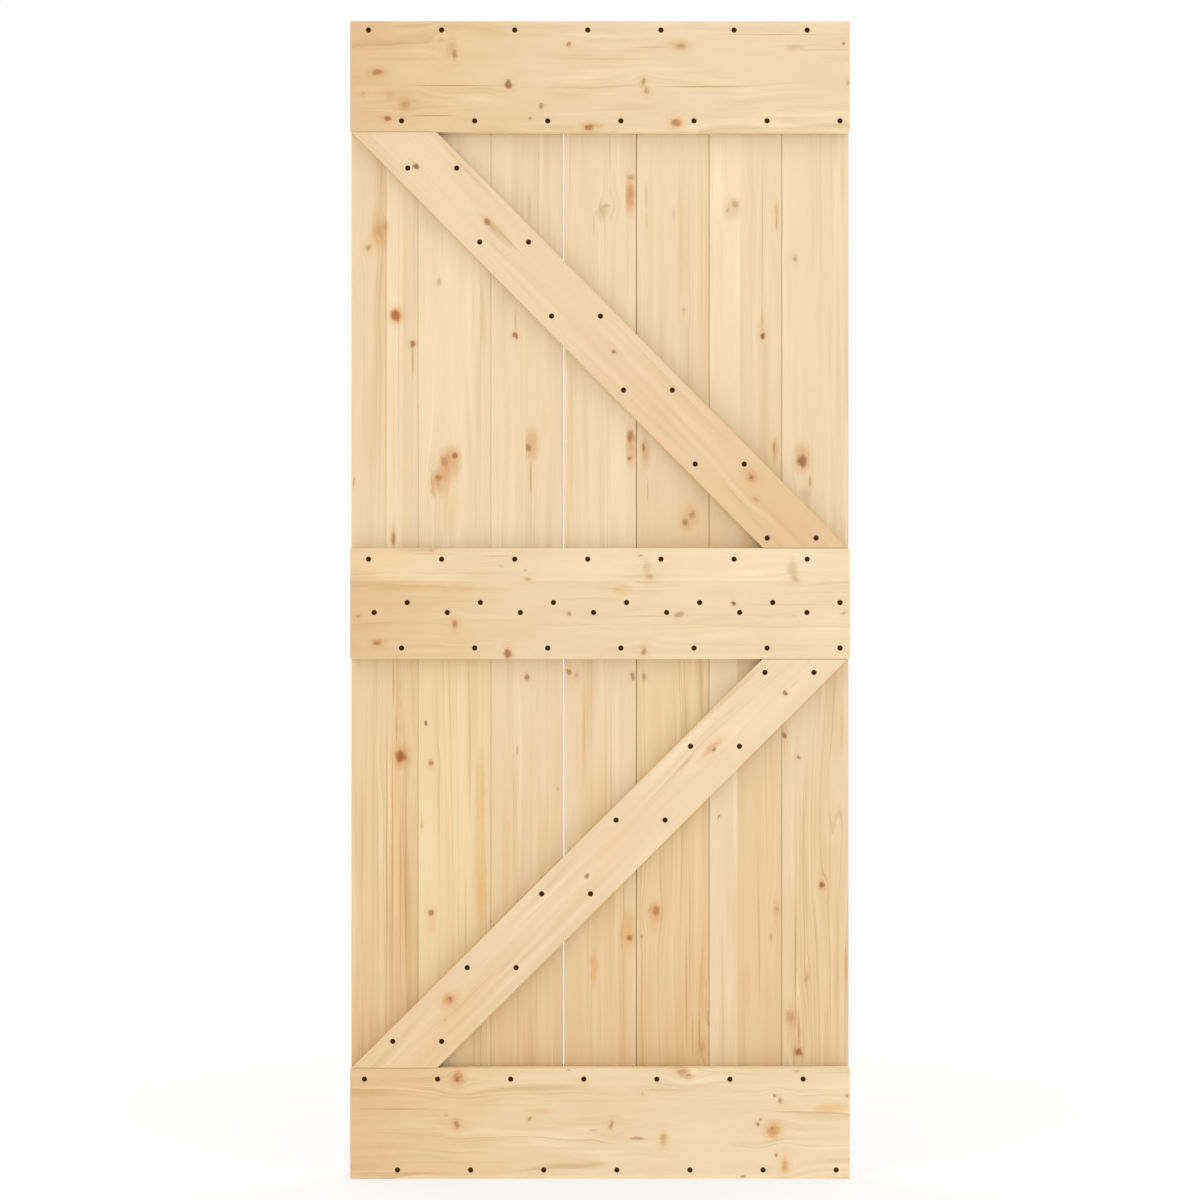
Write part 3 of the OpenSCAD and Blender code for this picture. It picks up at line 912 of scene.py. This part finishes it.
topRail = {
    "node": "top_rail",
    "log": 31,
    "tone": 0.33,
    "warmLeft": 0.62,
    "lines": 0.5,
    "pith": (75, 70),
    "ring": 5.2,
    "taper": 0.01,
    "wave": 16,
    "strips": [],
    "knots": [
        (376, 73, 13, 8, 0.52, 0.65), (454, 55, 8, 14, 0.5, 0.5), (441, 41, 9, 6, 0.14, 0.2),
        (451, 48, 11, 20, 0.14, 0.4),
        (508, 85, 8, 11, 0.8, 0.4), (404, 105, 12, 13, 0.28, 0.5), (387, 119, 8, 6, 0.72, 0.5),
        (362, 95, 7, 8, 0.14, 0.2), (388, 94, 12, 8, 0.1, 0.2), (541, 107, 5, 6, 0.55, 0.3),
        (530, 119, 4, 4, 0.5, 0.2), (569, 45, 6, 6, 0.58, 0.35), (589, 128, 11, 8, 0.7, 0.75),
        (644, 82, 5, 11, 0.44, 0.4), (647, 91, 6, 10, 0.38, 0.4), (676.5, 123.6, 13, 11, 0.58, 0.8),
        (681, 47, 15, 9, 0.4, 0.5), (844.6, 44.5, 5, 5, 0.6, 0.2), (849, 83, 6, 10, 0.35, 0.15),
    ],
    "stainsAndPaintedLight": [
        (596, 126, 24, 7, orange, 1.0), (452, 86.5, 116, 1.8, brown, 0.9), (434, 116.5, 56, 1.8, brown, 1.0),
        (700, 87.5, 110, 1.8, brown, 0.9), (650, 48, 50, 1.5, brown, 0.6), (776, 35.5, 150, 1.5, brown, 0.6),
        (796, 48, 26, 7, grey, 1.0), (720, 94, 160, 1.4, amber, 0.5), (400, 60, 90, 5, amber, 0.5),
        (620, 60, 120, 2, amber, 0.5), (370, 95, 60, 9, amber, 0.5), (600, 78, 140, 90, pink, 0.2),
    ],
}
dressWood(topRail, railGrain)

middleRail = {
    "node": "middle_rail",
    "tone": 0.285,
    "warmLeft": 0.7,
    "lines": 0.4,
    "pith": (74, 60),
    "ring": 5.6,
    "taper": -0.009,
    "wave": 18,
    "strips": [(580.8, -0.18, 90)],
    "knots": [
        (501, 566.5, 5, 4, 0.3, 0.05), (525, 570, 4, 4, 0.4, 0.1), (527.5, 579, 8, 6, 0.3, 0.4),
        (454.5, 623.7, 7, 11, 0.44, 0.6), (376.5, 642.8, 11, 7, 0.56, 0.6), (507.5, 653, 8, 13, 0.74, 0.65),
        (569, 614, 6, 6, 0.56, 0.15), (357.4, 616.6, 5, 5, 0.32, 0.35), (431, 550, 9, 4, 0.24, 0.2),
        (641, 556, 8, 5, 0.34, 0.15), (650.6, 577, 9, 8, 0.26, 0.25), (796.5, 579, 11, 9, 0.26, 0.3),
        (734.3, 603.8, 5, 6.5, 0.85, 0.3), (679.6, 614.5, 14, 9, 0.44, 0.2), (644, 651, 6, 11, 0.5, 0.4),
        (795, 616, 16, 6, 0.1, 0.1), (844.6, 613, 6, 4, 0.46, 0.25),
    ],
    "stainsAndPaintedLight": [
        (650, 616, 70, 1.5, brown, 0.5), (788, 604.5, 96, 1.4, brown, 0.5), (410, 564, 210, 44, pale, 1.0, 1),
        (420, 588, 150, 10, orange, 0.6), (480, 590, 90, 8, pink, 0.5), (647, 567, 10, 24, olive, 0.7),
        (793, 569, 15, 28, olive, 0.9), (430, 554, 70, 1.8, brown, 0.4), (497, 556, 40, 1.8, brown, 0.5),
        (372, 563, 130, 40, pale, 1.0, 1), (470, 620, 120, 2, amber, 0.5), (460, 601, 60, 1.5, brown, 0.3),
        (700, 624, 160, 1.5, amber, 0.5), (400, 604, 110, 6, orange, 0.4), (622, 590, 28, 17, orange, 0.6),
    ],
}
dressWood(middleRail, calmRailGrain)

bottomRail = {
    "node": "bottom_rail",
    "tone": 0.36,
    "warmLeft": 0.64,
    "lines": 0.8,
    "pith": (-70, 65),
    "ring": 5.0,
    "taper": 0.011,
    "wave": 22,
    "strips": [],
    "knots": [
        (457, 1077.4, 11, 14, 0.3, 0.6), (457, 1078.5, 4, 7, 0.75, 0.3), (456, 1123.6, 7.5, 9.5, 0.48, 0.6),
        (445.3, 1114.4, 4, 3, 0.3, 0.2), (529.3, 1118, 6, 6.5, 0.46, 0.3), (593.7, 1129.3, 13, 3, 0.3, 0.1),
        (569, 1069.5, 7, 4, 0.36, 0.1), (682, 1071, 17, 10, 0.4, 0.45), (688, 1074, 8, 8, 0.3, 0.5),
        (643, 1091.5, 3, 6, 0.25, 0.2), (611.6, 1124, 5, 11, 0.52, 0.35), (638, 1137.4, 24, 4.2, 0.48, 0.25),
        (663.8, 1137.5, 8, 16, 0.24, 0.55), (774, 1130, 13, 14, 0.18, 0.8), (772.5, 1127.5, 5, 5, 0.55, 0.3),
        (759, 1123, 5, 6, 0.68, 0.25), (761, 1118, 4, 4, 0.45, 0.1), (775, 1094, 5, 6, 0.64, 0.25),
        (781.5, 1099.8, 5.5, 8, 0.48, 0.35), (777.4, 1154.5, 5, 7, 0.52, 0.25),
        (785.6, 1164, 8, 18, 0.24, 0.7),
        (848, 1095, 4, 6, 0.48, 0.25), (744, 1175.7, 6, 4, 0.65, 0.15), (798, 1070, 9, 4, 0.28, 0.15),
    ],
    "stainsAndPaintedLight": [
        (457, 1077, 18, 18, rose, 0.6), (774, 1130, 24, 22, orange, 0.6), (396, 1108, 96, 1.8, brown, 0.7),
        (790, 1108, 60, 1.6, amber, 0.7), (832, 1107, 48, 13, orange, 0.9), (420, 1128, 110, 1.8, amber, 0.6),
        # the thin orange strip along the rail's lower edge is painted shade on its rounded edge
        (450, 1161, 180, 1.8, amber, 0.7), (430, 1174, 200, 2, orange, 0.6), (660, 1089, 60, 1.4, brown, 0.5),
        (500, 1104, 90, 2, amber, 0.5), (540, 1110, 40, 8, amber, 0.5), (600, 1100, 160, 2, amber, 0.4),
        # the long pale strip along the foot of the rail is a painted highlight on its rounded lower edge
        (392, 1086, 110, 44, pink, 0.3), (600, 1176, 1400, 7, pale, 0.9), (400, 1172, 140, 1.6, brown, 0.5),
    ],
}
dressWood(bottomRail, railGrain)

# braces, with their grain along the slope
upperBraceGrain = {"turn": -45.3, "streaks": 0.8, "grain": 0.7}
lowerBraceGrain = {"turn": 44.9, "streaks": 0.8, "grain": 0.7}

upperBrace = {
    "node": "upper_brace",
    "tone": 0.36,
    "blush": (1.0, 0.963, 0.963, 1.0),
    "warmFoot": 0.5,
    "lines": 0.3,
    "pith": (0, 80),
    "ring": 6.0,
    "taper": 0.006,
    "wave": 12,
    "strips": [],
    "knots": [
        (415, 167, 9, 7, 0.85, 0.1), (486.5, 222, 11, 7, 0.64, 0.25), (614, 352, 7, 6, 0.68, 0.25),
        (752, 477, 14, 13, 0.3, 0.4), (752, 477, 5.5, 5.5, 0.72, 0.2), (757, 500, 7, 6, 0.26, 0.4),
    ],
    "stainsAndPaintedLight": [
        (496, 231, 60, 13, olive, 0.85), (490, 226, 26, 5, amber, 0.9), (510, 243, 50, 1.8, brown, 0.5),
        (752, 477, 36, 22, pink, 0.5), (600, 330, 120, 1.8, amber, 0.5), (680, 420, 160, 1.8, amber, 0.4),
        (430, 180, 80, 2, amber, 0.4), (412, 163, 14, 4, amber, 0.9), (497, 250, 40, 1.6, brown, 0.5),
        (738, 498, 60, 1.6, brown, 0.45),
    ],
}
dressWood(upperBrace, upperBraceGrain)

lowerBrace = {
    "node": "lower_brace",
    "tone": 0.28,
    "blush": (1.0, 0.98, 0.98, 1.0),
    "warmLeft": 0.18,
    "warmFoot": 0.28,
    "lines": 0.3,
    "pith": (60, 75),
    "ring": 6.0,
    "taper": -0.006,
    "wave": 12,
    "strips": [],
    "knots": [
        (786.3, 692.8, 6, 6, 0.74, 0.35), (713, 747, 26, 9, 0.2, 0.5), (714, 749, 7, 2.6, 0.7, 0.2),
        (448.6, 998.7, 14, 14, 0.32, 0.6), (449, 998, 6, 6, 0.6, 0.3), (444.5, 1019.4, 4, 3.5, 0.34, 0.15),
        (587, 875, 7, 6, 0.72, 0.1),
    ],
    "stainsAndPaintedLight": [
        (687, 761, 40, 1.8, brown, 0.5), (683, 766, 40, 1.6, brown, 0.4), (505.5, 965.5, 34, 5, grey, 0.4),
        (448.6, 999, 34, 22, pink, 0.7), (796, 683, 16, 2, brown, 0.4), (640, 815, 120, 1.8, amber, 0.4),
        (540, 900, 140, 1.8, amber, 0.4), (480, 985, 80, 1.6, brown, 0.25), (600, 858, 220, 70, pink, 0.25),
    ],
}
dressWood(lowerBrace, lowerBraceGrain)

# dark coated screws
screwLook = {
    "coat": screenColour(70, 42, 12),
    "worn": screenColour(120, 78, 30),
    "wornRange": (0.45, 0.75),
    "wornShare": 0.3,
    "patchSize": (900.0, 900.0, 900.0),    # patches in a metre
    "patchDetail": 3.0,
    "rough": (0.42, 0.62),
    "roughRange": (0.3, 0.7),
    "gloss": 0.05,
    "bumpStrength": 0.3,
    "bumpHeight": 0.0001,
}


def screwMaterial(look):
    material = bpy.data.materials.new("dark_screw_coat")
    material.use_nodes = True
    tree = material.node_tree
    tree.nodes.clear()
    place = addNode(tree, "ShaderNodeTexCoord").outputs["Object"]
    patches = vectors(tree, "MULTIPLY", place, look["patchSize"])
    patches = noise(tree, patches, look["patchDetail"])[0]
    worn = soft(tree, patches, *look["wornRange"], 0.0, look["wornShare"])
    shader = addNode(tree, "ShaderNodeBsdfPrincipled")
    feed(tree, blendColour(tree, "MIX", worn, look["coat"], look["worn"]), shader.inputs["Base Color"])
    feed(tree, soft(tree, patches, *look["roughRange"], *look["rough"]), shader.inputs["Roughness"])
    shader.inputs["Specular IOR Level"].default_value = look["gloss"]
    bump = addNode(tree, "ShaderNodeBump")
    bump.inputs["Strength"].default_value = look["bumpStrength"]
    bump.inputs["Distance"].default_value = look["bumpHeight"]
    feed(tree, patches, bump.inputs["Height"])
    feed(tree, bump.outputs[0], shader.inputs["Normal"])
    output = addNode(tree, "ShaderNodeOutputMaterial")
    feed(tree, shader.outputs[0], output.inputs["Surface"])
    return material


screwCoat = screwMaterial(screwLook)
for carrier in ("top_rail", "middle_rail", "bottom_rail", "upper_brace", "lower_brace"):
    dress(carrier + "_screws", screwCoat)


# 1 for what the camera sees, also in a reflection or through glass
def seenRays(tree):
    rays = addNode(tree, "ShaderNodeLightPath").outputs
    seen = sums(tree, "MAXIMUM", rays["Is Camera Ray"], rays["Is Glossy Ray"])
    return sums(tree, "MAXIMUM", seen, rays["Is Transmission Ray"])


# pale studio floor, with the object's shadow left on it
floorLook = {
    "size": 24.0,
    "squares": 4,
    "paint": (0.82, 0.82, 0.82, 1.0),
    "seenWhite": 1.07,     # a glow that makes the open floor just white to the camera
    "seenShare": 0.5,      # how much of it is that glow, while the rest takes the shadow
}


def makeFloor(look):
    bpy.ops.object.select_all(action="DESELECT")
    bpy.ops.mesh.primitive_grid_add(
        x_subdivisions=look["squares"], y_subdivisions=look["squares"], size=look["size"])
    floor = bpy.context.active_object
    floor.name = "studio_floor"
    material = bpy.data.materials.new("studio_floor_paint")
    material.use_nodes = True
    tree = material.node_tree
    tree.nodes.clear()
    paint = addNode(tree, "ShaderNodeBsdfDiffuse")
    paint.inputs["Color"].default_value = look["paint"]
    glow = addNode(tree, "ShaderNodeEmission")
    glow.inputs["Strength"].default_value = look["seenWhite"]
    mixed = addNode(tree, "ShaderNodeMixShader")
    feed(tree, sums(tree, "MULTIPLY", seenRays(tree), look["seenShare"]), mixed.inputs[0])
    feed(tree, paint.outputs[0], mixed.inputs[1])
    feed(tree, glow.outputs[0], mixed.inputs[2])
    output = addNode(tree, "ShaderNodeOutputMaterial")
    feed(tree, mixed.outputs[0], output.inputs["Surface"])
    floor.data.materials.append(material)
    # the soft light reaches the leaf from below as well
    floor.visible_diffuse = False
    floor.visible_shadow = False


makeFloor(floorLook)
print("floor made")

# soft even light from all round, and more of it slanting along the face of the leaf
lightLook = {
    "base": 0.76,
    "slant": 0.87,
    "slantAngle": 70.0,    # degrees off the line straight out of the leaf
    "slantWidth": 15.0,
    "outOfLeaf": (0.0, 1.0, 0.0),
    "seen": 1.0,           # the white background
    "bounces": 1,          # light passed on from one board to another
}


def makeLight(look):
    world = bpy.data.worlds.new("studio")
    world.use_nodes = True
    bpy.context.scene.world = world
    tree = world.node_tree
    tree.nodes.clear()
    direction = addNode(tree, "ShaderNodeTexCoord").outputs["Generated"]
    straight = sums(tree, "ABSOLUTE", vectors(tree, "DOT_PRODUCT", direction, look["outOfLeaf"]))
    angle = sums(tree, "DEGREES", sums(tree, "ARCCOSINE", sums(tree, "MINIMUM", straight, 1.0)))
    away = sums(tree, "DIVIDE", sums(tree, "SUBTRACT", angle, look["slantAngle"]), look["slantWidth"])
    bell = sums(tree, "EXPONENT", sums(tree, "MULTIPLY", sums(tree, "MULTIPLY", away, away), -1.0))
    light = sums(tree, "MULTIPLY_ADD", bell, look["slant"], look["base"])
    strength = blendNumber(tree, seenRays(tree), light, look["seen"])
    sky = addNode(tree, "ShaderNodeBackground")
    sky.inputs["Color"].default_value = white
    feed(tree, strength, sky.inputs["Strength"])
    output = addNode(tree, "ShaderNodeOutputWorld")
    feed(tree, sky.outputs[0], output.inputs["Surface"])
    bpy.context.scene.cycles.diffuse_bounces = look["bounces"]


makeLight(lightLook)
print("light made")
